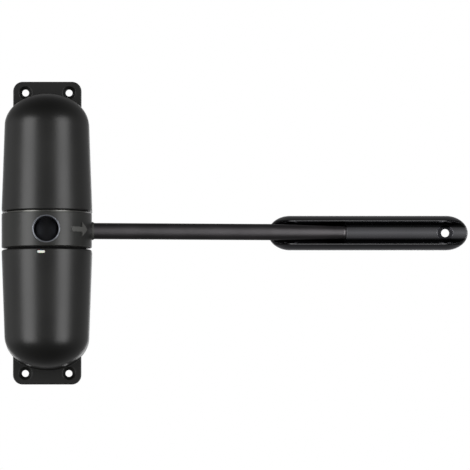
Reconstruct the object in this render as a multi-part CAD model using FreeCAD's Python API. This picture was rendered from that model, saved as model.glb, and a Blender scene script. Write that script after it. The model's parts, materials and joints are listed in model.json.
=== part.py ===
import FreeCAD, Part
import math
import os
from FreeCAD import Vector

# Door closer with two torsion springs: a body that screws to the door frame, a centre ring that
# turns with a round swing rod, and a grooved track plate that screws to the door.
# Millimetres. +X along the resting rod, +Y into the wall, +Z up. The origin lies on the mounting
# plane, at the centre of the four body screws. The lower half mirrors the upper half.

# Fits
fit_gap = 0.05            # radial, between pieces that are assembled and stay put
running_gap = 0.08        # radial, between a turning piece and its bearing
face_gap = 0.2            # between flat faces that turn past each other
touch = 0.01              # how near a picked edge lies to its plane
overrun = 1.0             # how far a cut runs on past the face it opens

# Centre ring
ring_radius = 23.6
ring_height = 18.0
wall_gap = 1.0            # from the ring to the mounting plane
seam_gap = 1.0            # from the ring to each housing
ring_top_round = 0.4
ring_bottom_round = 0.5
shoulder_step = 3.0       # the shoulder that fills each seam, inside the ring's outer surface
shoulder_gap = 0.1        # from the shoulder to the housing's mouth
winding_radius = 7.3      # hole for the winding bush
winding_wall = 0.8
winding_stand = 0.2       # the bush's face stands this far out of the ring
arrow_angle = 48.5        # from the front, towards the rod, in degrees
arrow_length = 11.6
arrow_head_length = 4.6
arrow_head_width = 7.2
arrow_shaft_width = 2.5
arrow_relief = 0.6
boss_wall = 0.5           # seat around the rod, outside the rod's radius
boss_height = 0.85

# Housings
housing_draft = 1.55      # how much a housing narrows from its mouth to its dome
housing_wall = 2.6        # wall at the dome's start
barrel_length = 45.0      # mouth to dome
dome_height = 16.7
rim_round = 1.0
chamber_past_dome = 4.2   # how far the spring chamber goes into the dome
end_wall = 3.7            # metal over the spindle's end
key_width = 6.0
key_depth = 2.5
pocket_wall = 1.8         # side wall of the pockets cored into the back
pocket_web = 2.5          # metal between a pocket and the chamber
pocket_start = 12.0       # from the middle plane
pocket_margin = 4.0       # from the mouth
window_width = 4.3
window_height = 1.5
window_drop = 2.0         # centre of the window, from the mouth
window_angle = -6.5       # from the front, in degrees
tab_recess = 0.4          # the tab's face below the housing's surface

# Screw ears
ear_width = 35.8
ear_thickness = 3.0
ear_reach = 7.7           # past the dome's top
ear_corner = 5.0
ear_fillet = 0.7
ear_edge_round = 0.5
screw_side = 6.5          # from the ear's side
screw_inset = 5.8         # from the ear's end
screw_hole_radius = 1.8
screw_head_radius = 3.5

# Spindle, hub and drive plates
spindle_radius = 6.0
pin_radius = 2.0
pin_overrun = 4.4         # past the spindle's front
pin_sink = 1.0            # below the mounting plane
hub_radius = 12.0
hub_boss_wall = 4.0       # of the round part of the boss, around the spindle
hub_flat_wall = 2.0       # of the boss at its two flats
rod_seat_depth = 0.8      # flat that the rod's shoulder bears on, below the hub's surface
bush_length = 8.0
plate_thickness = 3.5
plate_radial_gap = 1.3
key_pin_radius = 1.5
washer_width = 3.5
washer_thickness = 0.8
clip_width = 2.3
clip_thickness = 1.0
clip_groove = 0.5
clip_opening = 3.0        # half width of the circlip's mouth

# Torsion springs
spring_wire = 3.2
spring_gap = 3.0          # between the coils and the chamber
coil_gap = 0.35
coil_end_gap = 0.3
anchor_thickness = 4.0
tang_depth = 3.0

# Swing rod
rod_radius = 4.25
rod_thread_radius = 4.0
thread_tip_gap = 0.4      # from the thread's end to the spindle
rod_tip_x = 157.0
rod_taper_length = 39.9
rod_tip_radius = 3.35
rod_tip_round = 2.0
tip_gap = 0.1             # from the rod's tip to the floor of the groove, at the rod's very end

# Track plate
track_tip_entry = 41.3    # how far the resting rod reaches in over the plate
track_length = 104.7
track_width = 18.1
track_depth = 8.5         # at the edges of the groove
track_floor = 3.9         # metal under the groove
groove_width = 12.0
track_nose = 11.5         # length of each rounded end
track_hole_inset = 11.9
track_hole_radius = 2.1
track_head_radius = 4.2

# Places worked out from the sizes above
axis_depth = ring_radius + wall_gap
ring_half = ring_height / 2
mouth = ring_half + seam_gap
shoulder_end = mouth - shoulder_gap
dome_start = mouth + barrel_length
dome_top = dome_start + dome_height
dome_radius = ring_radius - housing_draft
chamber_radius = dome_radius - housing_wall
chamber_end = dome_start + chamber_past_dome
socket_end = dome_top - end_wall
pin_height = (chamber_end + socket_end) / 2
ear_end = dome_top + ear_reach
screw_x = ear_width / 2 - screw_side
screw_height = ear_end - screw_inset
bush_end = mouth + bush_length
hub_boss_radius = spindle_radius + hub_boss_wall
hub_flat = spindle_radius + hub_flat_wall
hub_rod_seat = hub_radius - rod_seat_depth
hub_shoulder = bush_end + face_gap
plate_top = hub_shoulder + plate_thickness
washer_base = plate_top + face_gap
clip_base = washer_base + washer_thickness
washer_radius = spindle_radius + washer_width
clip_radius = spindle_radius + clip_width
anchor_base = chamber_end - anchor_thickness
spring_radius = chamber_radius - spring_gap - spring_wire / 2
coil_base = plate_top + coil_end_gap + spring_wire / 2
coil_top = anchor_base - coil_end_gap - spring_wire / 2
coil_pitch = spring_wire + coil_gap
coil_end_angle = math.degrees(2 * math.pi * (coil_top - coil_base) / coil_pitch)
tip_depth = track_floor + rod_tip_radius + tip_gap
rod_angle = math.atan2(axis_depth - tip_depth, rod_tip_x)
rod_reach = rod_tip_x / math.cos(rod_angle)
rod_taper_start = rod_reach - rod_taper_length
rod_thread_start = spindle_radius + thread_tip_gap
track_start = rod_tip_x - track_tip_entry
track_end = track_start + track_length
track_half = track_width / 2
track_left = track_start + track_nose
track_right = track_end - track_nose
track_edge_height = track_depth - math.sqrt(track_half ** 2 - groove_width ** 2 / 4)
groove_depth = track_depth - track_floor
groove_radius = (groove_width ** 2 / 4 + groove_depth ** 2) / (2 * groove_depth)
groove_axis = track_floor + groove_radius

centre = Vector(0, -axis_depth, 0)
up = Vector(0, 0, 1)
front = Vector(0, -1, 0)
back = Vector(0, 1, 0)
right = Vector(1, 0, 0)
rod_way = Vector(math.cos(rod_angle), math.sin(rod_angle), 0)


def around(radius, base, top):
    """A cylinder on the body's axis, from one height to another."""
    return Part.makeCylinder(radius, top - base, centre + up * base, up)


def along(way, radius, start, end):
    """A cylinder square to the body's axis, from one distance to another."""
    return Part.makeCylinder(radius, end - start, centre + way * start, way)


def face_of(edges):
    return Part.Face(Part.Wire(edges))


def line(a, b):
    return Part.makeLine(a, b)


def three_point_arc(a, middle, b):
    return Part.Arc(a, middle, b).toShape()


def block(low, high):
    size = high - low
    return Part.makeBox(size.x, size.y, size.z, low)


def mirrored(shape):
    return shape.mirror(Vector(0, 0, 0), up)


def corner_arc(corner_centre, radius, start_angle):
    """A quarter circle in an XZ plane, anticlockwise seen from the front."""
    points = []
    for step in (0, 45, 90):
        angle = math.radians(start_angle + step)
        points.append(corner_centre + Vector(radius * math.cos(angle), 0, radius * math.sin(angle)))
    return three_point_arc(*points)


def housing_edges(side):
    """One side of the housing's outline, from the mouth's centre to the dome's top."""
    def at(x, z):
        return centre + Vector(side * x, 0, z)
    round_x = ring_radius - rim_round
    round_z = mouth + rim_round
    slant = rim_round * math.sqrt(0.5)
    dome = Part.Ellipse(at(dome_radius, dome_start), at(0, dome_top), at(0, dome_start))
    rim_middle = at(round_x + slant, round_z - slant)
    return [line(at(0, mouth), at(round_x, mouth)),
            three_point_arc(at(round_x, mouth), rim_middle, at(ring_radius, round_z)),
            line(at(ring_radius, round_z), at(dome_radius, dome_start)),
            Part.ArcOfEllipse(dome, 0, math.pi / 2).toShape()]


def housing_outside():
    right_side = housing_edges(1)
    left_side = housing_edges(-1)
    half = face_of(right_side + [line(centre + up * dome_top, centre + up * mouth)])
    whole = face_of(right_side + left_side)
    nose = half.revolve(centre, up, -180)
    rear = whole.extrude(back * axis_depth)
    return nose.fuse(rear).removeSplitter()


def ear():
    half = ear_width / 2
    inner = half - ear_corner
    top = ear_end - ear_corner
    def at(x, z):
        return Vector(x, 0, z)
    outline = face_of([line(at(-half, dome_start), at(half, dome_start)),
                       line(at(half, dome_start), at(half, top)),
                       corner_arc(at(inner, top), ear_corner, 0),
                       line(at(inner, ear_end), at(-inner, ear_end)),
                       corner_arc(at(-inner, top), ear_corner, 90),
                       line(at(-half, top), at(-half, dome_start))])
    return outline.extrude(front * ear_thickness)


def ear_front_edges(shell, past_dome):
    """The outer edges of the ear's front, or the edges where that front meets the dome."""
    edges = []
    for edge in shell.Edges:
        box = edge.BoundBox
        on_front = box.YMin > -ear_thickness - touch and box.YMax < -ear_thickness + touch
        if on_front and (box.ZMax > dome_top + touch) == past_dome:
            edges.append(edge)
    return edges


def ear_screw_cuts():
    cuts = []
    sink = screw_head_radius - screw_hole_radius
    for x in (-screw_x, screw_x):
        hole_back = Vector(x, 0, screw_height)
        hole_front = Vector(x, -ear_thickness, screw_height)
        cuts.append(Part.makeCylinder(screw_hole_radius, ear_thickness, hole_back, front))
        cuts.append(Part.makeCone(screw_head_radius, screw_hole_radius, sink, hole_front, back))
    return cuts


def back_pockets():
    outer = dome_radius - pocket_wall
    pockets = []
    for side in (-1, 1):
        low_x = min(side * pocket_start, side * outer)
        low = Vector(low_x, -axis_depth, mouth + pocket_margin)
        high = Vector(low_x + outer - pocket_start, 0, dome_start)
        web = around(chamber_radius + pocket_web, mouth, dome_start)
        pockets.append(block(low, high).cut(web))
    return pockets


def obround(width, height, start, end):
    """A flat-sided oval bar through the window's place in the upper housing, pointing outwards."""
    angle = math.radians(window_angle)
    way = Vector(math.sin(angle), -math.cos(angle), 0)
    level = up * (mouth + window_drop)
    offset = Vector(math.cos(angle), math.sin(angle), 0) * ((width - height) / 2)
    bar = Part.makeBox(width - height, height, end - start)
    bar.translate(Vector(-(width - height) / 2, -height / 2, 0))
    bar.Placement = FreeCAD.Placement(centre + level + way * start,
                                      FreeCAD.Rotation(offset, up, way, "ZXY")).multiply(bar.Placement)
    for side in (-1, 1):
        base = centre + level + way * start + offset * side
        bar = bar.fuse(Part.makeCylinder(height / 2, end - start, base, way))
    return bar.removeSplitter()


def key_bar(width, reach, base, top):
    low = centre + Vector(-width / 2, 0, base)
    high = centre + Vector(width / 2, reach, top)
    return block(low, high)


def housing():
    shell = housing_outside().fuse(ear()).removeSplitter()
    shell = shell.makeFillet(ear_fillet, ear_front_edges(shell, False))
    shell = shell.makeFillet(ear_edge_round, ear_front_edges(shell, True))
    cuts = [around(chamber_radius, mouth, chamber_end),
            around(spindle_radius + fit_gap, chamber_end, socket_end),
            key_bar(key_width, chamber_radius + key_depth, mouth, chamber_end),
            pin_hole(pin_radius + fit_gap, 0, fit_gap)]
    return shell.cut(cuts + ear_screw_cuts() + back_pockets())


def pin_hole(radius, sink, extra):
    """A bar through the spindle's end, from the mounting plane towards the front."""
    start = Vector(0, -sink, pin_height)
    length = axis_depth + spindle_radius + pin_overrun + extra - sink
    return Part.makeCylinder(radius, length, start, front)


def lower_housing():
    window = obround(window_width, window_height, chamber_radius - overrun, ring_radius + overrun)
    return mirrored(housing().cut(window))


def bush():
    lug = key_bar(key_width - 2 * fit_gap, chamber_radius + key_depth - fit_gap, mouth, bush_end)
    body = around(chamber_radius - fit_gap, mouth, bush_end).fuse(lug)
    return body.cut(around(hub_radius + running_gap, mouth, bush_end)).removeSplitter()


def lower_bush():
    width = window_width - 2 * fit_gap
    height = window_height - 2 * fit_gap
    tab = obround(width, height, chamber_radius - 2 * overrun, ring_radius - tab_recess)
    return mirrored(bush().fuse(tab).removeSplitter())


def spindle():
    end = socket_end - face_gap
    bar = around(spindle_radius, -end, end)
    cuts = []
    for half in (lambda shape: shape, mirrored):
        groove = around(spindle_radius + overrun, clip_base, clip_base + clip_thickness + fit_gap)
        cuts.append(half(groove.cut(around(spindle_radius - clip_groove, mouth, dome_start))))
        cuts.append(half(pin_hole(pin_radius + fit_gap, 0, fit_gap)))
    return bar.cut(cuts)


def both_ends(shape):
    return Part.makeCompound([shape, mirrored(shape)])


def spindle_pins():
    return both_ends(pin_hole(pin_radius, pin_sink, 0))


def thrust_washers():
    ring = around(washer_radius, washer_base, clip_base)
    return both_ends(ring.cut(around(spindle_radius + fit_gap, washer_base, clip_base)))


def spindle_circlips():
    top = clip_base + clip_thickness
    inner = spindle_radius - clip_groove + fit_gap
    ring = around(clip_radius, clip_base, top).cut(around(inner, clip_base, top))
    low = centre + Vector(-clip_opening, -clip_radius, clip_base)
    high = centre + Vector(clip_opening, 0, top)
    return both_ends(ring.cut(block(low, high)))


def coil_point(angle, height):
    turn = math.radians(angle)
    return centre + Vector(spring_radius * math.cos(turn), spring_radius * math.sin(turn), height)


def tang(radius, angle, base, top):
    """A straight bar along the axis at the coil's radius."""
    return Part.makeCylinder(radius, top - base, coil_point(angle, base), up)


def spring():
    wire_radius = spring_wire / 2
    helix = Part.makeHelix(coil_pitch, coil_top - coil_base, spring_radius)
    helix.translate(centre + up * coil_base)
    section = Part.Wire(Part.makeCircle(wire_radius, coil_point(0, coil_base), back))
    coil = Part.Wire(helix).makePipeShell([section], True, True)
    lower_tang = tang(wire_radius, 0, plate_top - tang_depth, coil_base)
    upper_tang = tang(wire_radius, coil_end_angle, coil_top, anchor_base + tang_depth)
    lower_bend = Part.makeSphere(wire_radius, coil_point(0, coil_base))
    upper_bend = Part.makeSphere(wire_radius, coil_point(coil_end_angle, coil_top))
    lower_end = lower_tang.fuse(lower_bend).removeSplitter()
    upper_end = upper_tang.fuse(upper_bend).removeSplitter()
    return coil.fuse([lower_end, upper_end])


def spring_anchor():
    lug = key_bar(key_width - 2 * fit_gap, chamber_radius + key_depth - fit_gap, anchor_base, chamber_end)
    disc = around(chamber_radius - fit_gap, anchor_base, chamber_end).fuse(lug)
    cuts = [around(spindle_radius + fit_gap, anchor_base, chamber_end),
            tang(spring_wire / 2 + fit_gap, coil_end_angle, anchor_base, anchor_base + tang_depth + fit_gap)]
    return disc.cut(cuts)


def hub_boss(gap):
    """The two-flatted boss that a drive plate fits on."""
    blank = around(hub_boss_radius + gap, hub_shoulder, plate_top)
    low = centre + Vector(-hub_radius, -hub_flat - gap, hub_shoulder)
    high = centre + Vector(hub_radius, hub_flat + gap, plate_top)
    return blank.common(block(low, high))


def key_pins(gap):
    """The two keys between ring and hub, at the back and on the side away from the rod."""
    pins = []
    for way in (back, right * -1):
        base = centre + way * hub_radius - up * shoulder_end
        pins.append(Part.makeCylinder(key_pin_radius + gap, 2 * shoulder_end, base, up))
    return pins


def drive_hub():
    body = around(hub_radius, -hub_shoulder, hub_shoulder)
    body = body.fuse([hub_boss(0), mirrored(hub_boss(0))]).removeSplitter()
    cuts = [around(spindle_radius + running_gap, -plate_top, plate_top),
            along(rod_way, rod_thread_radius + fit_gap, spindle_radius - overrun, hub_rod_seat),
            along(rod_way, rod_radius + fit_gap, hub_rod_seat, hub_radius + overrun)]
    return body.cut(cuts + key_pins(fit_gap))


def drive_plate():
    disc = around(chamber_radius - plate_radial_gap, hub_shoulder, plate_top)
    tang_hole = tang(spring_wire / 2 + fit_gap, 0, hub_shoulder, plate_top)
    return disc.cut([hub_boss(fit_gap), tang_hole])


def ring_blank():
    inner = hub_radius + fit_gap
    def at(radius, z):
        return centre + Vector(radius, 0, z)
    def rounded(radius, sign):
        slant = radius * math.sqrt(0.5)
        corner = at(ring_radius - radius, sign * (ring_half - radius))
        inward = at(ring_radius - radius, sign * ring_half)
        outward = at(ring_radius, sign * (ring_half - radius))
        return inward, corner + Vector(slant, 0, sign * slant), outward
    lower = rounded(ring_bottom_round, -1)
    upper = rounded(ring_top_round, 1)
    section = face_of([line(at(inner, -ring_half), lower[0]),
                       three_point_arc(*lower),
                       line(lower[2], upper[2]),
                       three_point_arc(*upper),
                       line(upper[0], at(inner, ring_half)),
                       line(at(inner, ring_half), at(inner, -ring_half))])
    return section.revolve(centre, up, 360)


def arrow():
    """The raised arrow that shows which way to wind."""
    half = arrow_length / 2
    neck = half - arrow_head_length
    shaft = arrow_shaft_width / 2
    head = arrow_head_width / 2
    outline = [(-half, -shaft), (neck, -shaft), (neck, -head), (half, 0)]
    outline += [(neck, head), (neck, shaft), (-half, shaft)]
    corners = [centre + Vector(x, 0, z) for x, z in outline + outline[:1]]
    bar = Part.Face(Part.makePolygon(corners)).extrude(front * (ring_radius + arrow_relief + overrun))
    bar.rotate(centre, up, arrow_angle)
    band = around(ring_radius + arrow_relief, -ring_half, ring_half)
    return bar.common(band.cut(around(ring_radius - overrun, -ring_half, ring_half)))


def center_ring():
    boss = along(rod_way, rod_radius + boss_wall, hub_radius + overrun, ring_radius + boss_height)
    shoulder = around(ring_radius - shoulder_step, -shoulder_end, shoulder_end)
    body = ring_blank().fuse([shoulder, boss, arrow()]).removeSplitter()
    cuts = [around(hub_radius + fit_gap, -shoulder_end, shoulder_end),
            along(front, winding_radius + fit_gap, 0, ring_radius + overrun),
            along(rod_way, rod_radius + fit_gap, 0, ring_radius + boss_height)]
    return body.cut(cuts + key_pins(fit_gap))


def ring_keys():
    return Part.makeCompound(key_pins(0))


def winding_bush():
    start = hub_radius + fit_gap
    end = ring_radius + winding_stand
    hole = along(front, winding_radius - winding_wall, start, end)
    return along(front, winding_radius, start, end).cut(hole)


def swing_rod():
    def at(distance, radius):
        return centre + Vector(distance, 0, radius)
    slant = rod_tip_round * math.sqrt(0.5)
    tip_edge = at(rod_reach, rod_tip_radius - rod_tip_round)
    tip_side = at(rod_reach - rod_tip_round, rod_tip_radius)
    tip_middle = at(rod_reach - rod_tip_round + slant, rod_tip_radius - rod_tip_round + slant)
    points = [at(rod_thread_start, 0), at(rod_thread_start, rod_thread_radius),
              at(hub_rod_seat, rod_thread_radius), at(hub_rod_seat, rod_radius),
              at(rod_taper_start, rod_radius), tip_side]
    edges = [line(a, b) for a, b in zip(points, points[1:])]
    edges.append(three_point_arc(tip_side, tip_middle, tip_edge))
    edges.append(line(tip_edge, at(rod_reach, 0)))
    edges.append(line(at(rod_reach, 0), points[0]))
    rod = face_of(edges).revolve(centre, right, 360)
    rod.rotate(centre, up, math.degrees(rod_angle))
    return rod


def track_outline(side):
    """One long side of the plate with its two quarter-oval corners, where the upright edge ends."""
    def at(x, z):
        return Vector(x, -track_edge_height, side * z)
    def corner(x, tip):
        oval = Part.Ellipse(at(tip, 0), at(x, track_half), at(x, 0))
        return Part.ArcOfEllipse(oval, 0, math.pi / 2).toShape()
    return [corner(track_left, track_start),
            line(at(track_left, track_half), at(track_right, track_half)),
            corner(track_right, track_end)]


def track_blank():
    """A low upright edge with a half-round front on it, both with half-oval ends."""
    axis_start = Vector(track_start, -track_edge_height, 0)
    axis_end = Vector(track_end, -track_edge_height, 0)
    base = face_of(track_outline(1) + track_outline(-1)).extrude(back * track_edge_height)
    half = face_of(track_outline(1) + [line(axis_end, axis_start)])
    return base.fuse(half.revolve(axis_start, right, 180)).removeSplitter()


def track_screw_cuts():
    sink = track_head_radius - track_hole_radius
    neck = track_floor - sink
    cuts = []
    for x in (track_start + track_hole_inset, track_end - track_hole_inset):
        cuts.append(Part.makeCylinder(track_hole_radius, track_depth, Vector(x, 0, 0), front))
        cuts.append(Part.makeCone(track_hole_radius, track_head_radius, sink, Vector(x, -neck, 0), front))
        cuts.append(Part.makeCylinder(track_head_radius, groove_depth, Vector(x, -track_floor, 0), front))
    return cuts


def track_plate():
    groove = Part.makeCylinder(groove_radius, track_length, Vector(track_start, -groove_axis, 0), right)
    return track_blank().cut([groove] + track_screw_cuts())


nodes = {
    "upper_housing": housing,
    "lower_housing": lower_housing,
    "upper_bush": bush,
    "lower_bush": lower_bush,
    "upper_spring_anchor": spring_anchor,
    "lower_spring_anchor": lambda: mirrored(spring_anchor()),
    "spindle": spindle,
    "spindle_pins": spindle_pins,
    "thrust_washers": thrust_washers,
    "spindle_circlips": spindle_circlips,
    "upper_spring": spring,
    "lower_spring": lambda: mirrored(spring()),
    "drive_hub": drive_hub,
    "upper_drive_plate": drive_plate,
    "lower_drive_plate": lambda: mirrored(drive_plate()),
    "center_ring": center_ring,
    "ring_keys": ring_keys,
    "winding_bush": winding_bush,
    "swing_rod": swing_rod,
    "track_plate": track_plate,
}

os.makedirs("parts", exist_ok=True)
for name, make in nodes.items():
    make().exportStep("parts/" + name + ".step")
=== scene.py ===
import json
import math

import bmesh
import bpy
from mathutils import Matrix, Vector


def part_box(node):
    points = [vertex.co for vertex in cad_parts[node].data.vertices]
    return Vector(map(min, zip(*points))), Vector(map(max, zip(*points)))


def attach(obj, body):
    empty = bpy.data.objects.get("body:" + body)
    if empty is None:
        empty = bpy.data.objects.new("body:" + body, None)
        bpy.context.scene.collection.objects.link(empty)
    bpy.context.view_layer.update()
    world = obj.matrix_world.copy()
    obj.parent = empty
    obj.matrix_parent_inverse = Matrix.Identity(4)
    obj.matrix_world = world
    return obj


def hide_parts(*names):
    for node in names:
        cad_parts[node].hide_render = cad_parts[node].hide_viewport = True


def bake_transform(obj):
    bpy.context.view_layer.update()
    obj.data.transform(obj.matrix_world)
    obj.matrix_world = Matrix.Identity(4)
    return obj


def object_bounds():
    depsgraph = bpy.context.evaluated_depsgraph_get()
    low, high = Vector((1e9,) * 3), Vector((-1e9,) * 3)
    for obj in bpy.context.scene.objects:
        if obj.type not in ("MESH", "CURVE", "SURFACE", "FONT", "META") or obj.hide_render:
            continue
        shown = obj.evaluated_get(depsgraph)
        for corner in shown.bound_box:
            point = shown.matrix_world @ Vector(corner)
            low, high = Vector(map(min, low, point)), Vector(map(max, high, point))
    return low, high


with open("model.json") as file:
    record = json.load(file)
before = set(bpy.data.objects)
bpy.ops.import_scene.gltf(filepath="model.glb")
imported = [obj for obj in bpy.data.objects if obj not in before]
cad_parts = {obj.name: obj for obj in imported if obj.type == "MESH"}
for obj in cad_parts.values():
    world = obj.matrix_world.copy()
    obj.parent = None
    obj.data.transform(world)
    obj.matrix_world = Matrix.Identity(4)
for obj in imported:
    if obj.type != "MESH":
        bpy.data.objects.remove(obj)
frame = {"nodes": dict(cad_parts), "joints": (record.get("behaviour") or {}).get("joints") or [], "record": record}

cadLow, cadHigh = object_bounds()
record = frame["record"]
nodes = frame["nodes"]
swingJoint = next(j for j in frame["joints"] if j["name"] == "arm_swing")
axisPoint = Vector(swingJoint["pos_m"])  # the body's axis, at the height of the ring's middle
upWay = Vector((0, 0, 1))
frontWay = Vector((0, -1, 0))
mm = 0.001
farAway = 1  # a distance past the object's ends, where a mask has no limit

print("door closer: frame loaded,", len(nodes), "nodes")


# shader helpers

def addNode(tree, kind, place, **settings):
    node = tree.nodes.new(kind)
    node.location = place
    for key, value in settings.items():
        setattr(node, key, value)
    return node


def newShaderGroup(name, inputs, outputs):
    group = bpy.data.node_groups.new(name, "ShaderNodeTree")
    for label, value in inputs.items():
        socket = group.interface.new_socket(label, in_out="INPUT", socket_type="NodeSocketFloat")
        socket.default_value = value
    for label in outputs:
        group.interface.new_socket(label, in_out="OUTPUT", socket_type="NodeSocketFloat")
    entry = addNode(group, "NodeGroupInput", (-800, 0))
    leave = addNode(group, "NodeGroupOutput", (600, 0))
    return group, entry, leave


def coatGrainGroup():
    # sprayed coat: a fine orange peel, and broad clouds where it lies thicker
    sizes = {"Peel Scale": 900, "Cloud Scale": 45}
    group, entry, leave = newShaderGroup("coatGrain", sizes, ["Peel", "Cloud"])
    place = addNode(group, "ShaderNodeTexCoord", (-800, 200))
    peel = addNode(group, "ShaderNodeTexNoise", (-400, 200))
    peel.inputs["Detail"].default_value = 3
    cloud = addNode(group, "ShaderNodeTexNoise", (-400, -100))
    cloud.inputs["Detail"].default_value = 2
    spread = addNode(group, "ShaderNodeMapRange", (0, -100))
    spread.inputs["From Min"].default_value = 0.35
    spread.inputs["From Max"].default_value = 0.65
    group.links.new(place.outputs["Object"], peel.inputs["Vector"])
    group.links.new(place.outputs["Object"], cloud.inputs["Vector"])
    group.links.new(entry.outputs["Peel Scale"], peel.inputs["Scale"])
    group.links.new(entry.outputs["Cloud Scale"], cloud.inputs["Scale"])
    group.links.new(cloud.outputs["Fac"], spread.inputs["Value"])
    group.links.new(peel.outputs["Fac"], leave.inputs["Peel"])
    group.links.new(spread.outputs["Result"], leave.inputs["Cloud"])
    return group


def edgeRubAndSheenGroup():
    # a mask that is 1 on convex edges, broken up as if by handling; it lightens edges as wear, and on the ring
    # also as a painted edge highlight
    sizes = {"Width": 0.4 * mm, "Strength": 6, "Breakup": 300}
    group, entry, leave = newShaderGroup("edgeRubAndSheen", sizes, ["Rub"])
    rounded = addNode(group, "ShaderNodeBevel", (-500, 200), samples=4)
    surface = addNode(group, "ShaderNodeNewGeometry", (-500, 0))
    likeness = addNode(group, "ShaderNodeVectorMath", (-300, 100), operation="DOT_PRODUCT")
    turned = addNode(group, "ShaderNodeMath", (-100, 100), operation="SUBTRACT")
    turned.inputs[0].default_value = 1
    stronger = addNode(group, "ShaderNodeMath", (50, 100), operation="MULTIPLY")
    place = addNode(group, "ShaderNodeTexCoord", (-500, -200))
    noise = addNode(group, "ShaderNodeTexNoise", (-300, -200))
    patch = addNode(group, "ShaderNodeMapRange", (-100, -200))
    patch.inputs["From Min"].default_value = 0.4
    patch.inputs["From Max"].default_value = 0.6
    patch.inputs["To Min"].default_value = 0.35
    result = addNode(group, "ShaderNodeMath", (250, 0), operation="MULTIPLY", use_clamp=True)
    group.links.new(entry.outputs["Width"], rounded.inputs["Radius"])
    group.links.new(rounded.outputs["Normal"], likeness.inputs[0])
    group.links.new(surface.outputs["Normal"], likeness.inputs[1])
    group.links.new(likeness.outputs["Value"], turned.inputs[1])
    group.links.new(turned.outputs["Value"], stronger.inputs[0])
    group.links.new(entry.outputs["Strength"], stronger.inputs[1])
    group.links.new(place.outputs["Object"], noise.inputs["Vector"])
    group.links.new(entry.outputs["Breakup"], noise.inputs["Scale"])
    group.links.new(noise.outputs["Fac"], patch.inputs["Value"])
    group.links.new(stronger.outputs["Value"], result.inputs[0])
    group.links.new(patch.outputs["Result"], result.inputs[1])
    group.links.new(result.outputs["Value"], leave.inputs["Rub"])
    return group


def softEdgeGroup():
    # rounds the shading over sharp edges, as casting and coating do
    group, entry, leave = newShaderGroup("softEdge", {"Radius": 0.3 * mm}, [])
    group.interface.new_socket("Normal", in_out="OUTPUT", socket_type="NodeSocketVector")
    rounded = addNode(group, "ShaderNodeBevel", (0, 0), samples=4)
    group.links.new(entry.outputs["Radius"], rounded.inputs["Radius"])
    group.links.new(rounded.outputs["Normal"], leave.inputs["Normal"])
    return group


def toolMarksGroup():
    # fine turning lines: noise that changes along one axis only
    sizes = {"Along X": 0, "Along Y": 0, "Along Z": 5000}
    group, entry, leave = newShaderGroup("toolMarks", sizes, ["Lines"])
    place = addNode(group, "ShaderNodeTexCoord", (-800, 200))
    stretch = addNode(group, "ShaderNodeCombineXYZ", (-600, 0))
    scaled = addNode(group, "ShaderNodeVectorMath", (-400, 100), operation="MULTIPLY")
    noise = addNode(group, "ShaderNodeTexNoise", (-200, 100))
    noise.inputs["Scale"].default_value = 1
    noise.inputs["Detail"].default_value = 2
    for label, socket in (("Along X", "X"), ("Along Y", "Y"), ("Along Z", "Z")):
        group.links.new(entry.outputs[label], stretch.inputs[socket])
    group.links.new(place.outputs["Object"], scaled.inputs[0])
    group.links.new(stretch.outputs["Vector"], scaled.inputs[1])
    group.links.new(scaled.outputs["Vector"], noise.inputs["Vector"])
    group.links.new(noise.outputs["Fac"], leave.inputs["Lines"])
    return group


def raisedMaskGroup():
    # 1 where the surface stands further from the body's axis than a radius, such as on a raised sign
    sizes = {"Axis Depth": 0, "Radius": 23.7 * mm, "Softness": 0.2 * mm}
    group, entry, leave = newShaderGroup("raisedMask", sizes, ["Raised"])
    place = addNode(group, "ShaderNodeTexCoord", (-1000, 0))
    split = addNode(group, "ShaderNodeSeparateXYZ", (-800, 0))
    deep = addNode(group, "ShaderNodeMath", (-600, -100), operation="SUBTRACT")
    flat = addNode(group, "ShaderNodeCombineXYZ", (-400, 0))
    reach = addNode(group, "ShaderNodeVectorMath", (-200, 0), operation="LENGTH")
    outer = addNode(group, "ShaderNodeMath", (-200, -200), operation="ADD")
    rise = addNode(group, "ShaderNodeMapRange", (100, 0), interpolation_type="SMOOTHSTEP")
    group.links.new(place.outputs["Object"], split.inputs["Vector"])
    group.links.new(split.outputs["Y"], deep.inputs[0])
    group.links.new(entry.outputs["Axis Depth"], deep.inputs[1])
    group.links.new(split.outputs["X"], flat.inputs["X"])
    group.links.new(deep.outputs["Value"], flat.inputs["Y"])
    group.links.new(flat.outputs["Vector"], reach.inputs[0])
    group.links.new(reach.outputs["Value"], rise.inputs["Value"])
    group.links.new(entry.outputs["Radius"], rise.inputs["From Min"])
    group.links.new(entry.outputs["Radius"], outer.inputs[0])
    group.links.new(entry.outputs["Softness"], outer.inputs[1])
    group.links.new(outer.outputs["Value"], rise.inputs["From Max"])
    group.links.new(rise.outputs["Result"], leave.inputs["Raised"])
    return group


def heightMaskGroup():
    # 1 above a height, 0 below it
    sizes = {"Height": 9 * mm, "Softness": 0.1 * mm}
    group, entry, leave = newShaderGroup("heightMask", sizes, ["Above"])
    place = addNode(group, "ShaderNodeTexCoord", (-800, 0))
    split = addNode(group, "ShaderNodeSeparateXYZ", (-600, 0))
    outer = addNode(group, "ShaderNodeMath", (-400, -200), operation="ADD")
    rise = addNode(group, "ShaderNodeMapRange", (-100, 0), interpolation_type="SMOOTHSTEP")
    group.links.new(place.outputs["Object"], split.inputs["Vector"])
    group.links.new(split.outputs["Z"], rise.inputs["Value"])
    group.links.new(entry.outputs["Height"], rise.inputs["From Min"])
    group.links.new(entry.outputs["Height"], outer.inputs[0])
    group.links.new(entry.outputs["Softness"], outer.inputs[1])
    group.links.new(outer.outputs["Value"], rise.inputs["From Max"])
    group.links.new(rise.outputs["Result"], leave.inputs["Above"])
    return group


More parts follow.
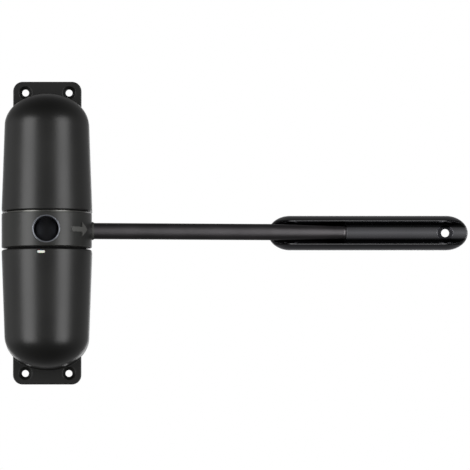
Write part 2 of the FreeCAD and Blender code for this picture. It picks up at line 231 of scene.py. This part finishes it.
def bandMaskGroup():
    # another mask, kept only where the distance from a plane lies between two values
    sizes = {"Mask": 1, "Along X": 0, "Along Y": 0, "Along Z": 0, "Middle": 0,
             "Start": 1 * mm, "End": 2 * mm, "Softness": 0.1 * mm}
    group, entry, leave = newShaderGroup("bandMask", sizes, ["Band"])
    place = addNode(group, "ShaderNodeTexCoord", (-1000, 0))
    way = addNode(group, "ShaderNodeCombineXYZ", (-1000, -200))
    along = addNode(group, "ShaderNodeVectorMath", (-800, 0), operation="DOT_PRODUCT")
    fromMiddle = addNode(group, "ShaderNodeMath", (-600, 0), operation="SUBTRACT")
    away = addNode(group, "ShaderNodeMath", (-400, 0), operation="ABSOLUTE")
    for label, socket in (("Along X", "X"), ("Along Y", "Y"), ("Along Z", "Z")):
        group.links.new(entry.outputs[label], way.inputs[socket])
    group.links.new(place.outputs["Object"], along.inputs[0])
    group.links.new(way.outputs["Vector"], along.inputs[1])
    group.links.new(along.outputs["Value"], fromMiddle.inputs[0])
    group.links.new(entry.outputs["Middle"], fromMiddle.inputs[1])
    group.links.new(fromMiddle.outputs["Value"], away.inputs[0])
    both = addNode(group, "ShaderNodeMath", (300, 0), operation="SUBTRACT", use_clamp=True)
    for slot, label in enumerate(("Start", "End")):
        far = addNode(group, "ShaderNodeMath", (-200, -200 * slot), operation="ADD")
        step = addNode(group, "ShaderNodeMapRange", (0, -200 * slot), interpolation_type="SMOOTHSTEP")
        group.links.new(away.outputs["Value"], step.inputs["Value"])
        group.links.new(entry.outputs[label], step.inputs["From Min"])
        group.links.new(entry.outputs[label], far.inputs[0])
        group.links.new(entry.outputs["Softness"], far.inputs[1])
        group.links.new(far.outputs["Value"], step.inputs["From Max"])
        group.links.new(step.outputs["Result"], both.inputs[slot])
    kept = addNode(group, "ShaderNodeMath", (500, 0), operation="MULTIPLY")
    group.links.new(both.outputs["Value"], kept.inputs[0])
    group.links.new(entry.outputs["Mask"], kept.inputs[1])
    group.links.new(kept.outputs["Value"], leave.inputs["Band"])
    return group


coatGrain = coatGrainGroup()
edgeRubAndSheen = edgeRubAndSheenGroup()
toolMarks = toolMarksGroup()
softEdge = softEdgeGroup()
raisedMask = raisedMaskGroup()
heightMask = heightMaskGroup()
bandMask = bandMaskGroup()


def useGroup(tree, group, place, values):
    node = addNode(tree, "ShaderNodeGroup", place, node_tree=group)
    for label, value in values.items():
        node.inputs[label].default_value = value
    return node


def mixColors(tree, place, factor, first, second):
    mix = addNode(tree, "ShaderNodeMix", place, data_type="RGBA")
    mix.inputs["A"].default_value = (*first, 1)
    mix.inputs["B"].default_value = (*second, 1)
    tree.links.new(factor, mix.inputs["Factor"])
    return mix.outputs["Result"]


def layOver(tree, place, mask, under, color):
    mix = addNode(tree, "ShaderNodeMix", place, data_type="RGBA")
    mix.inputs["B"].default_value = (*color, 1)
    tree.links.new(mask, mix.inputs["Factor"])
    tree.links.new(under, mix.inputs["A"])
    return mix.outputs["Result"]


def roughFrom(tree, pattern, look):
    spread = addNode(tree, "ShaderNodeMapRange", (-500, -100))
    spread.inputs["To Min"].default_value = look["roughness"]
    spread.inputs["To Max"].default_value = look["roughness"] + look["roughSpread"]
    tree.links.new(pattern, spread.inputs["Value"])
    return spread.outputs["Result"]


def newMaterial(name):
    material = bpy.data.materials.new(name)
    material.use_nodes = True
    tree = material.node_tree
    return material, tree, tree.nodes["Principled BSDF"]


def addBump(tree, shader, height, distance, edgeRadius):
    edges = useGroup(tree, softEdge, (-500, -500), {"Radius": edgeRadius})
    bump = addNode(tree, "ShaderNodeBump", (-300, -400))
    bump.inputs["Distance"].default_value = distance
    tree.links.new(height, bump.inputs["Height"])
    tree.links.new(edges.outputs["Normal"], bump.inputs["Normal"])
    tree.links.new(bump.outputs["Normal"], shader.inputs["Normal"])


def ringLayers(tree, shader, look, color):
    # painted highlights on the raised arrow and on the top edge (drawn as a lighter metallic band), and painted
    # shade in the dull recess under the bottom edge
    raised = useGroup(tree, raisedMask, (-800, 500), {
        "Axis Depth": axisPoint.y, "Radius": look["raisedRadius"]})
    above = useGroup(tree, heightMask, (-800, 700), {"Height": look["registerHeight"]})
    recess = useGroup(tree, bandMask, (-800, 900), {
        "Along Z": 1, "Middle": -look["registerHeight"] - look["recessHeight"],
        "Start": -farAway, "End": look["recessHeight"]})
    color = layOver(tree, (-300, 300), raised.outputs["Raised"], color, look["raisedHighlightColor"])
    color = layOver(tree, (-100, 300), above.outputs["Above"], color, look["topEdgeHighlightColor"])
    color = layOver(tree, (100, 300), recess.outputs["Band"], color, look["recessShadeColor"])
    tree.links.new(above.outputs["Above"], shader.inputs["Metallic"])
    return color, recess.outputs["Band"]


def grooveLayers(tree, look, color):
    # painted shade on the groove walls, and a painted highlight along the straight part of the groove's edges
    half = look["grooveHalf"]
    front = useGroup(tree, bandMask, (-1500, 500), {
        "Along Y": 1, "Start": look["backSkin"], "End": farAway})
    reach = useGroup(tree, bandMask, (-1250, 700), {
        "Along X": 1, "Middle": look["middle"], "Start": -farAway, "End": look["lineReach"],
        "Softness": look["lineFade"]})
    line = useGroup(tree, bandMask, (-1000, 700), {
        "Along Z": 1, "Start": half - look["lineWidth"] / 2, "End": half + look["lineWidth"] / 2})
    wall = useGroup(tree, bandMask, (-1000, 500), {
        "Along Z": 1, "Start": look["floorHalf"], "End": half, "Softness": look["wallBlend"]})
    for outer, inner in ((front, reach), (reach, line), (front, wall)):
        tree.links.new(outer.outputs["Band"], inner.inputs["Mask"])
    color = layOver(tree, (-300, 300), wall.outputs["Band"], color, look["wallShadeColor"])
    return layOver(tree, (-100, 300), line.outputs["Band"], color, look["edgeLineHighlightColor"])


def coatedMetal(name, look):
    material, tree, shader = newMaterial(name)
    scales = {"Peel Scale": look["peelScale"], "Cloud Scale": look["cloudScale"]}
    grain = useGroup(tree, coatGrain, (-1100, 0), scales)
    rubbing = {"Width": look["rubWidth"], "Strength": look["rubStrength"]}
    rub = useGroup(tree, edgeRubAndSheen, (-1100, -300), rubbing)
    body = mixColors(tree, (-800, 200), grain.outputs["Cloud"], look["color"], look["cloudColor"])
    color = layOver(tree, (-500, 200), rub.outputs["Rub"], body, look["rubAndSheenColor"])
    shader.inputs["Metallic"].default_value = look["metallic"]
    rough = roughFrom(tree, grain.outputs["Cloud"], look)
    if "raisedRadius" in look:
        color, recess = ringLayers(tree, shader, look, color)
        duller = addNode(tree, "ShaderNodeMath", (-300, -100), operation="MAXIMUM")
        tree.links.new(rough, duller.inputs[0])
        tree.links.new(recess, duller.inputs[1])
        rough = duller.outputs["Value"]
    if "grooveHalf" in look:
        color = grooveLayers(tree, look, color)
    tree.links.new(color, shader.inputs["Base Color"])
    tree.links.new(rough, shader.inputs["Roughness"])
    shader.inputs["Specular IOR Level"].default_value = look["specular"]
    addBump(tree, shader, grain.outputs["Peel"], look["peelDepth"], look["edgeRadius"])
    return material


def turnedMetal(name, look):
    material, tree, shader = newMaterial(name)
    alongX, alongY, alongZ = look["marks"]
    marks = useGroup(tree, toolMarks, (-1100, 0), {"Along X": alongX, "Along Y": alongY, "Along Z": alongZ})
    grain = useGroup(tree, coatGrain, (-1100, -300), steelGrain)
    color = mixColors(tree, (-800, 200), grain.outputs["Cloud"], look["color"], look["stain"])
    tree.links.new(color, shader.inputs["Base Color"])
    tree.links.new(roughFrom(tree, marks.outputs["Lines"], look), shader.inputs["Roughness"])
    shader.inputs["Metallic"].default_value = 1
    addBump(tree, shader, marks.outputs["Lines"], look["markDepth"], look["edgeRadius"])
    return material


def mouldedPlastic(name, look):
    material, tree, shader = newMaterial(name)
    grain = useGroup(tree, coatGrain, (-1100, 0), plasticGrain)
    color = mixColors(tree, (-800, 200), grain.outputs["Cloud"], look["color"], look["shade"])
    tree.links.new(color, shader.inputs["Base Color"])
    tree.links.new(roughFrom(tree, grain.outputs["Peel"], look), shader.inputs["Roughness"])
    shader.inputs["Subsurface Weight"].default_value = look["subsurface"]
    shader.inputs["Subsurface Scale"].default_value = look["scatterReach"]
    addBump(tree, shader, grain.outputs["Peel"], look["grainDepth"], look["edgeRadius"])
    return material


# finishes

housingLook = {
    "color": (0.0052, 0.0052, 0.0048), "cloudColor": (0.0066, 0.0066, 0.0061),
    "rubAndSheenColor": (0.030, 0.030, 0.028), "rubWidth": 0.4 * mm, "rubStrength": 3,
    "roughness": 0.33, "roughSpread": 0.04, "metallic": 0.0, "specular": 0.5,
    "peelScale": 1100, "cloudScale": 40, "peelDepth": 0.012 * mm, "edgeRadius": 0.4 * mm,
}
ringLow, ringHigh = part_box("center_ring")
ringLook = dict(
    housingLook, color=(0.0100, 0.0105, 0.0092), cloudColor=(0.0120, 0.0125, 0.0110),
    # the ring's brighter edge colour is wear and also a painted highlight on its edges
    rubAndSheenColor=(0.12, 0.12, 0.11), rubStrength=5, edgeRadius=0.2 * mm,
    raisedRadius=0.2 * mm - ringLow.x,  # just outside the ring's own face
    # painted highlight: the raised arrow and the boss round the rod are drawn lighter
    raisedHighlightColor=(0.075, 0.075, 0.070),
    registerHeight=ringHigh.z - 0.8 * mm,  # from here up the top edge carries a painted highlight, drawn as lighter metal
    topEdgeHighlightColor=(0.17, 0.17, 0.16),
    # painted shade: the recess under the bottom edge is drawn near black
    recessHeight=0.6 * mm, recessShadeColor=(0.001, 0.001, 0.001))
rodLook = {
    "color": (0.101, 0.096, 0.100), "cloudColor": (0.110, 0.104, 0.109),
    "rubAndSheenColor": (0.12, 0.115, 0.12), "rubWidth": 0.3 * mm, "rubStrength": 1,
    "roughness": 0.40, "roughSpread": 0.05, "metallic": 1.0, "specular": 0.5,
    "peelScale": 1500, "cloudScale": 60, "peelDepth": 0.006 * mm, "edgeRadius": 0.4 * mm,
}
trackLow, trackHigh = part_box("track_plate")
trackLook = {
    "color": (0.235, 0.235, 0.250), "cloudColor": (0.250, 0.250, 0.265),
    "rubAndSheenColor": (0.30, 0.30, 0.31), "rubWidth": 0.3 * mm, "rubStrength": 1,
    "roughness": 0.15, "roughSpread": 0.04, "metallic": 1.0, "specular": 0.5,
    "peelScale": 1300, "cloudScale": 50, "peelDepth": 0.0015 * mm, "edgeRadius": 0.3 * mm,
    # painted shade: the groove walls are drawn darker
    "grooveHalf": 6 * mm, "floorHalf": 2.4 * mm, "wallBlend": 1 * mm, "wallShadeColor": (0.035, 0.035, 0.037),
    # painted highlight: a near-white line along the groove's edges
    "lineWidth": 0.6 * mm, "edgeLineHighlightColor": (0.90, 0.90, 0.92), "lineReach": 40 * mm, "lineFade": 2 * mm,
    "middle": (trackLow.x + trackHigh.x) / 2, "backSkin": 0.5 * mm,
}
steelGrain = {"Peel Scale": 600, "Cloud Scale": 60}
bluedLook = {
    "color": (0.32, 0.335, 0.37), "stain": (0.25, 0.265, 0.30), "roughness": 0.28, "roughSpread": 0.12,
    "marks": (0, 6000, 0), "markDepth": 0.004 * mm, "edgeRadius": 0.2 * mm,
}
# blackened hub steel, kept this dark also as painted shade at the bottom of the winding bore
blackSteelBoreShadeLook = {
    "color": (0.05, 0.05, 0.053), "stain": (0.03, 0.03, 0.032), "roughness": 0.40, "roughSpread": 0.15,
    "marks": (0, 0, 5000), "markDepth": 0.004 * mm, "edgeRadius": 0.2 * mm,
}
steelLook = {
    "color": (0.50, 0.49, 0.47), "stain": (0.40, 0.39, 0.37), "roughness": 0.28, "roughSpread": 0.14,
    "marks": (0, 0, 5000), "markDepth": 0.004 * mm, "edgeRadius": 0.2 * mm,
}
springLook = {
    "color": (0.10, 0.10, 0.11), "stain": (0.06, 0.06, 0.065), "roughness": 0.35, "roughSpread": 0.10,
    "marks": (900, 900, 900), "markDepth": 0.004 * mm, "edgeRadius": 0.2 * mm,
}
plasticGrain = {"Peel Scale": 1500, "Cloud Scale": 120}
nylonLook = {
    "color": (0.82, 0.82, 0.78), "shade": (0.74, 0.74, 0.70), "roughness": 0.42, "roughSpread": 0.1,
    "subsurface": 0.3, "scatterReach": 0.5 * mm, "grainDepth": 0.01 * mm, "edgeRadius": 0.2 * mm,
}

finishes = {
    "housing_black": coatedMetal("housingPowderCoat", housingLook),
    "ring_black": coatedMetal("ringPowderCoat", ringLook),
    "rod_black": coatedMetal("rodBlackOxide", rodLook),
    "track_black": coatedMetal("trackGlossBlack", trackLook),
    "winding_steel": turnedMetal("bluedWindingSteel", bluedLook),
    "hub_black": turnedMetal("blackenedHubSteelBoreShade", blackSteelBoreShadeLook),
    "turned_steel": turnedMetal("turnedSteel", steelLook),
    "spring_steel": turnedMetal("springSteel", springLook),
    "nylon": mouldedPlastic("whiteNylon", nylonLook),
}

slotOf = {part["node"]: part["material_slot"] for part in record["subparts"]}
for name, node in nodes.items():
    node.data.materials.clear()
    node.data.materials.append(finishes[slotOf[name]])
print("finishes placed on the carried-over nodes")


# coiled springs, laid out by geometry nodes along one path: tang, coil, tang

springValues = {"wireDiameter": 3.2 * mm, "pitch": 3.55 * mm, "coilGap": 0.3 * mm, "stepsPerTurn": 40,
                "tangSteps": 8, "wireSides": 16, "softening": 2}


def geometryTree(name, inputs):
    tree = bpy.data.node_groups.new(name, "GeometryNodeTree")
    tree.interface.new_socket("Geometry", in_out="INPUT", socket_type="NodeSocketGeometry")
    for label, (kind, value) in inputs.items():
        socket = tree.interface.new_socket(label, in_out="INPUT", socket_type=kind)
        if value is not None:
            socket.default_value = value
    tree.interface.new_socket("Geometry", in_out="OUTPUT", socket_type="NodeSocketGeometry")
    return tree, addNode(tree, "NodeGroupInput", (-1400, 0)), addNode(tree, "NodeGroupOutput", (1400, 0))


def mathNode(tree, operation, place, first, second=None, clamp=False):
    node = addNode(tree, "ShaderNodeMath", place, operation=operation, use_clamp=clamp)
    for index, value in enumerate((first, second)):
        if value is None:
            continue
        if isinstance(value, (int, float)):
            node.inputs[index].default_value = value
        else:
            tree.links.new(value, node.inputs[index])
    return node.outputs["Value"]


def coilTree():
    number = "NodeSocketFloat"
    tree, entry, leave = geometryTree("coiledSpring", {
        "Wire Radius": (number, 0.001), "Coil Radius": (number, 0.01), "Turns": (number, 8.0),
        "Coil Base": (number, 0.0), "Coil Top": (number, 0.03), "Tang Base": (number, -0.005),
        "Tang Top": (number, 0.035), "Hand": (number, 1.0), "Axis Depth": (number, 0.0),
        "Steps": ("NodeSocketInt", 300), "Tang Steps": ("NodeSocketInt", 8),
        "Wire Sides": ("NodeSocketInt", 16), "Softening": ("NodeSocketInt", 2),
        "Material": ("NodeSocketMaterial", None)})
    given = entry.outputs
    path = addNode(tree, "GeometryNodeCurvePrimitiveLine", (-1100, 300))
    points = addNode(tree, "GeometryNodeResampleCurve", (-900, 300))
    index = addNode(tree, "GeometryNodeInputIndex", (-1400, -400)).outputs["Index"]
    last = mathNode(tree, "SUBTRACT", (-1200, -200), given["Steps"], 1)
    bothTangs = mathNode(tree, "MULTIPLY", (-1200, -300), given["Tang Steps"], 2)
    coilSteps = mathNode(tree, "SUBTRACT", (-1000, -200), last, bothTangs)
    pastTang = mathNode(tree, "SUBTRACT", (-1000, -400), index, given["Tang Steps"])
    alongTang = mathNode(tree, "DIVIDE", (-800, -300), index, given["Tang Steps"], clamp=True)
    alongCoil = mathNode(tree, "DIVIDE", (-800, -450), pastTang, coilSteps, clamp=True)
    pastCoil = mathNode(tree, "SUBTRACT", (-800, -600), pastTang, coilSteps)
    alongLast = mathNode(tree, "DIVIDE", (-600, -600), pastCoil, given["Tang Steps"], clamp=True)
    turned = mathNode(tree, "MULTIPLY", (-600, -450), alongCoil, given["Turns"])
    angle = mathNode(tree, "MULTIPLY", (-450, -450), turned, 2 * math.pi)
    cosine = mathNode(tree, "COSINE", (-300, -350), angle)
    sine = mathNode(tree, "SINE", (-300, -500), angle)
    across = mathNode(tree, "MULTIPLY", (-200, -350), cosine, given["Coil Radius"])
    deep = mathNode(tree, "MULTIPLY", (-200, -500), sine, given["Coil Radius"])
    deep = mathNode(tree, "ADD", (-50, -500), deep, given["Axis Depth"])
    stretches = ((alongTang, "Tang Base", "Coil Base"), (alongCoil, "Coil Base", "Coil Top"),
                 (alongLast, "Coil Top", "Tang Top"))
    rises = []
    for row, (part, low, high) in enumerate(stretches):
        span = mathNode(tree, "SUBTRACT", (-400, -700 - 150 * row), given[high], given[low])
        rises.append(mathNode(tree, "MULTIPLY", (-200, -700 - 150 * row), part, span))
    height = mathNode(tree, "ADD", (0, -700), given["Tang Base"], rises[0])
    height = mathNode(tree, "ADD", (100, -700), height, rises[1])
    height = mathNode(tree, "ADD", (200, -700), height, rises[2])
    height = mathNode(tree, "MULTIPLY", (300, -700), height, given["Hand"])
    spot = addNode(tree, "ShaderNodeCombineXYZ", (400, -400))
    place = addNode(tree, "GeometryNodeSetPosition", (500, 300))
    here = addNode(tree, "GeometryNodeInputPosition", (500, 0))
    blur = addNode(tree, "GeometryNodeBlurAttribute", (600, 0), data_type="FLOAT_VECTOR")
    soften = addNode(tree, "GeometryNodeSetPosition", (750, 300))
    wire = addNode(tree, "GeometryNodeCurvePrimitiveCircle", (750, -100), mode="RADIUS")
    sweep = addNode(tree, "GeometryNodeCurveToMesh", (900, 300))
    sweep.inputs["Fill Caps"].default_value = True
    smooth = addNode(tree, "GeometryNodeSetShadeSmooth", (1050, 300))
    realize = addNode(tree, "GeometryNodeRealizeInstances", (1150, 300))
    coat = addNode(tree, "GeometryNodeSetMaterial", (1250, 300))
    link = tree.links.new
    link(path.outputs["Curve"], points.inputs["Curve"])
    link(given["Steps"], points.inputs["Count"])
    link(points.outputs["Curve"], place.inputs["Geometry"])
    link(across, spot.inputs["X"])
    link(deep, spot.inputs["Y"])
    link(height, spot.inputs["Z"])
    link(spot.outputs["Vector"], place.inputs["Position"])
    link(place.outputs["Geometry"], soften.inputs["Geometry"])
    link(here.outputs["Position"], blur.inputs["Value"])
    link(given["Softening"], blur.inputs["Iterations"])
    link(blur.outputs["Value"], soften.inputs["Position"])
    link(given["Wire Sides"], wire.inputs["Resolution"])
    link(given["Wire Radius"], wire.inputs["Radius"])
    link(soften.outputs["Geometry"], sweep.inputs["Curve"])
    link(wire.outputs["Curve"], sweep.inputs["Profile Curve"])
    link(sweep.outputs["Mesh"], smooth.inputs["Geometry"])
    link(smooth.outputs["Geometry"], realize.inputs["Geometry"])
    link(realize.outputs["Geometry"], coat.inputs["Geometry"])
    link(given["Material"], coat.inputs["Material"])
    link(coat.outputs["Geometry"], leave.inputs["Geometry"])
    return tree


def runTree(tree, name, settings):
    # runs a geometry tree on an empty carrier and keeps only the plain mesh it makes
    carrier = bpy.data.objects.new(name + "Carrier", bpy.data.meshes.new(name + "Carrier"))
    bpy.context.scene.collection.objects.link(carrier)
    modifier = carrier.modifiers.new(name, "NODES")
    modifier.node_group = tree
    for item in tree.interface.items_tree:
        if item.item_type == "SOCKET" and item.in_out == "INPUT" and item.name in settings:
            modifier[item.identifier] = settings[item.name]
    graph = bpy.context.evaluated_depsgraph_get()
    mesh = bpy.data.meshes.new_from_object(carrier.evaluated_get(graph), depsgraph=graph)
    mesh.name = name
    carrier.modifiers.clear()
    bpy.data.objects.remove(carrier)
    return mesh


def placePiece(mesh, node):
    piece = bpy.data.objects.new(mesh.name, mesh)
    bpy.context.scene.collection.objects.link(piece)
    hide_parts(node)
    return piece


def makeSprings():
    tree = coilTree()
    low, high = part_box("upper_spring")
    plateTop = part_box("upper_drive_plate")[1].z
    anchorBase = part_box("upper_spring_anchor")[0].z
    wireRadius = springValues["wireDiameter"] / 2
    coilBase = plateTop + springValues["coilGap"] + wireRadius
    coilTop = anchorBase - springValues["coilGap"] - wireRadius
    turns = (coilTop - coilBase) / springValues["pitch"]
    steps = round(turns * springValues["stepsPerTurn"]) + 2 * springValues["tangSteps"] + 1
    for name, node, hand in (("upperCoil", "upper_spring", 1.0), ("lowerCoil", "lower_spring", -1.0)):
        mesh = runTree(tree, name, {
            "Wire Radius": wireRadius, "Coil Radius": (high.x - low.x) / 2 - wireRadius, "Turns": turns,
            "Coil Base": coilBase, "Coil Top": coilTop, "Tang Base": low.z, "Tang Top": high.z,
            "Hand": hand, "Axis Depth": axisPoint.y,
            "Steps": steps, "Tang Steps": springValues["tangSteps"],
            "Wire Sides": springValues["wireSides"], "Softening": springValues["softening"],
            "Material": finishes["spring_steel"]})
        coil = placePiece(mesh, node)
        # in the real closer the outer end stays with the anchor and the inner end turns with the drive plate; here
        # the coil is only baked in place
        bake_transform(coil)


makeSprings()
print("springs coiled")


# winding sleeve, turned in one piece with a lead-in inside and a broken edge outside

sleeveValues = {"wall": 0.8 * mm, "leadIn": 0.3 * mm, "brokenEdge": 0.15 * mm, "segments": 96,
                "sharpAngle": 25}


def turnedMesh(name, profile, centre, axis, start, segments):
    # turns a closed outline of (distance along the axis, radius) about the axis
    shape = bmesh.new()
    across = axis.cross(start)
    rings = []
    for along, radius in profile:
        ring = []
        for step in range(segments):
            turn = 2 * math.pi * step / segments
            way = start * math.cos(turn) + across * math.sin(turn)
            ring.append(shape.verts.new(centre + axis * along + way * radius))
        rings.append(ring)
    for first, second in zip(rings, rings[1:] + rings[:1]):
        for step in range(segments):
            after = (step + 1) % segments
            shape.faces.new((first[step], second[step], second[after], first[after]))
    bmesh.ops.recalc_face_normals(shape, faces=shape.faces)
    mesh = bpy.data.meshes.new(name)
    shape.to_mesh(mesh)
    shape.free()
    return mesh


def smoothBut(mesh, degrees):
    mesh.shade_smooth()
    mesh.set_sharp_from_angle(angle=math.radians(degrees))


def makeSleeve():
    low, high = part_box("winding_bush")
    outer = (high.x - low.x) / 2
    inner = outer - sleeveValues["wall"]
    back = axisPoint.y - high.y
    face = axisPoint.y - low.y
    edge = sleeveValues["brokenEdge"]
    leadIn = sleeveValues["leadIn"]
    profile = [(back, inner), (back, outer - edge), (back + edge, outer), (face - edge, outer),
               (face, outer - edge), (face, inner + leadIn), (face - leadIn, inner)]
    mesh = turnedMesh("windingSleeve", profile, axisPoint, frontWay, upWay, sleeveValues["segments"])
    smoothBut(mesh, sleeveValues["sharpAngle"])
    mesh.materials.append(finishes["winding_steel"])
    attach(placePiece(mesh, "winding_bush"), "arm")


makeSleeve()
print("winding sleeve turned")


# stage, lights and camera

stageValues = {
    "floorDrop": 0.50, "floorRadius": 1.0, "floorSides": 96,
    "floorGrain": {"Peel Scale": 300, "Cloud Scale": 4}, "floorRoughness": 0.8, "floorGlow": 0.42,
    "floorColor": (0.86, 0.86, 0.85), "floorShade": (0.8428, 0.8428, 0.833),
    "background": 1.0, "levelGlow": 0.38, "overheadGlow": 0.070,
}
lightValues = {
    "leftStrip": {"azimuth": -49, "elevation": 0, "distance": 1.1, "size": (0.70, 1.45), "power": 10.6},
    "rightStrip": {"azimuth": 45, "elevation": 0, "distance": 1.1, "size": (0.62, 1.45), "power": 9.3},
    "leftSide": {"azimuth": -98, "elevation": 0, "distance": 1.1, "size": (0.9, 1.0), "power": 0.6},
    "backSoft": {"azimuth": 180, "elevation": 0, "distance": 1.6, "size": (1.2, 0.9), "power": 3},
}
cameraValues = {"elevation": -3, "distance": 8.0, "margin": 1.0098, "drop": 0.0009, "sensor": 36}


def wayFrom(azimuth, elevation):
    # unit way from the object to a light or camera; azimuth 0 is in front, 90 to the right
    a = math.radians(azimuth)
    e = math.radians(elevation)
    return Vector((math.sin(a) * math.cos(e), -math.cos(a) * math.cos(e), math.sin(e)))


def aimAt(thing, spot, target):
    turn = (target - spot).to_track_quat("-Z", "Y").to_matrix().to_4x4()
    thing.matrix_world = Matrix.Translation(spot) @ turn


def addLight(name, values, target):
    light = bpy.data.lights.new(name, "AREA")
    light.shape = "RECTANGLE"
    light.size, light.size_y = values["size"]
    light.energy = values["power"]
    lamp = bpy.data.objects.new(name, light)
    bpy.context.scene.collection.objects.link(lamp)
    aimAt(lamp, target + wayFrom(values["azimuth"], values["elevation"]) * values["distance"], target)
    lamp.visible_camera = False


def makeFloor():
    mesh = bpy.data.meshes.new("floor")
    disc = bmesh.new()
    bmesh.ops.create_circle(disc, cap_ends=True, segments=stageValues["floorSides"],
                            radius=stageValues["floorRadius"])
    place = (cadLow + cadHigh) / 2
    place.z = cadLow.z - stageValues["floorDrop"]
    bmesh.ops.translate(disc, verts=disc.verts, vec=place)
    disc.to_mesh(mesh)
    disc.free()
    floor = bpy.data.objects.new("floor", mesh)
    bpy.context.scene.collection.objects.link(floor)
    material, tree, shader = newMaterial("floorPaper")
    grain = useGroup(tree, coatGrain, (-900, 0), stageValues["floorGrain"])
    color = mixColors(tree, (-500, 100), grain.outputs["Cloud"], stageValues["floorColor"],
                      stageValues["floorShade"])
    tree.links.new(color, shader.inputs["Base Color"])
    shader.inputs["Roughness"].default_value = stageValues["floorRoughness"]
    shader.inputs["Emission Color"].default_value = (1, 1, 1, 1)
    shader.inputs["Emission Strength"].default_value = stageValues["floorGlow"]
    mesh.materials.append(material)
    floor.visible_glossy = False  # its glow would light the underside of the bar and plate
    floor.visible_diffuse = False


def makeWorld():
    # white where the camera looks; the object is lit by a dimmer studio, brighter level than overhead
    world = bpy.data.worlds.new("studio")
    bpy.context.scene.world = world
    world.use_nodes = True
    tree = world.node_tree
    tree.nodes.clear()
    rays = addNode(tree, "ShaderNodeLightPath", (-600, 300))
    place = addNode(tree, "ShaderNodeTexCoord", (-900, 0))
    split = addNode(tree, "ShaderNodeSeparateXYZ", (-700, 0))
    height = addNode(tree, "ShaderNodeMath", (-500, 0), operation="ABSOLUTE")
    glow = addNode(tree, "ShaderNodeMapRange", (-300, 0))
    glow.inputs["To Min"].default_value = stageValues["levelGlow"]
    glow.inputs["To Max"].default_value = stageValues["overheadGlow"]
    studio = addNode(tree, "ShaderNodeBackground", (-100, 0))
    paper = addNode(tree, "ShaderNodeBackground", (-100, -200))
    paper.inputs["Strength"].default_value = stageValues["background"]
    paper.inputs["Color"].default_value = (1, 1, 1, 1)
    studio.inputs["Color"].default_value = (1, 1, 1, 1)
    mix = addNode(tree, "ShaderNodeMixShader", (150, 0))
    out = addNode(tree, "ShaderNodeOutputWorld", (350, 0))
    tree.links.new(place.outputs["Generated"], split.inputs["Vector"])
    tree.links.new(split.outputs["Z"], height.inputs[0])
    tree.links.new(height.outputs["Value"], glow.inputs["Value"])
    tree.links.new(glow.outputs["Result"], studio.inputs["Strength"])
    tree.links.new(rays.outputs["Is Camera Ray"], mix.inputs["Fac"])
    tree.links.new(studio.outputs["Background"], mix.inputs[1])
    tree.links.new(paper.outputs["Background"], mix.inputs[2])
    tree.links.new(mix.outputs["Shader"], out.inputs["Surface"])


def makeCamera():
    data = bpy.data.cameras.new("camera")
    camera = bpy.data.objects.new("camera", data)
    bpy.context.scene.collection.objects.link(camera)
    width = (cadHigh.x - cadLow.x) * cameraValues["margin"]
    data.sensor_width = cameraValues["sensor"]
    data.lens = cameraValues["sensor"] * cameraValues["distance"] / width
    target = Vector(((cadLow.x + cadHigh.x) / 2, 0, -cameraValues["drop"]))
    aimAt(camera, target + wayFrom(0, cameraValues["elevation"]) * cameraValues["distance"], target)
    bpy.context.scene.camera = camera


makeWorld()
makeFloor()
for name, values in lightValues.items():
    addLight(name, values, axisPoint)
makeCamera()
bpy.context.scene.view_settings.view_transform = "Standard"
print("stage, lights and camera ready")
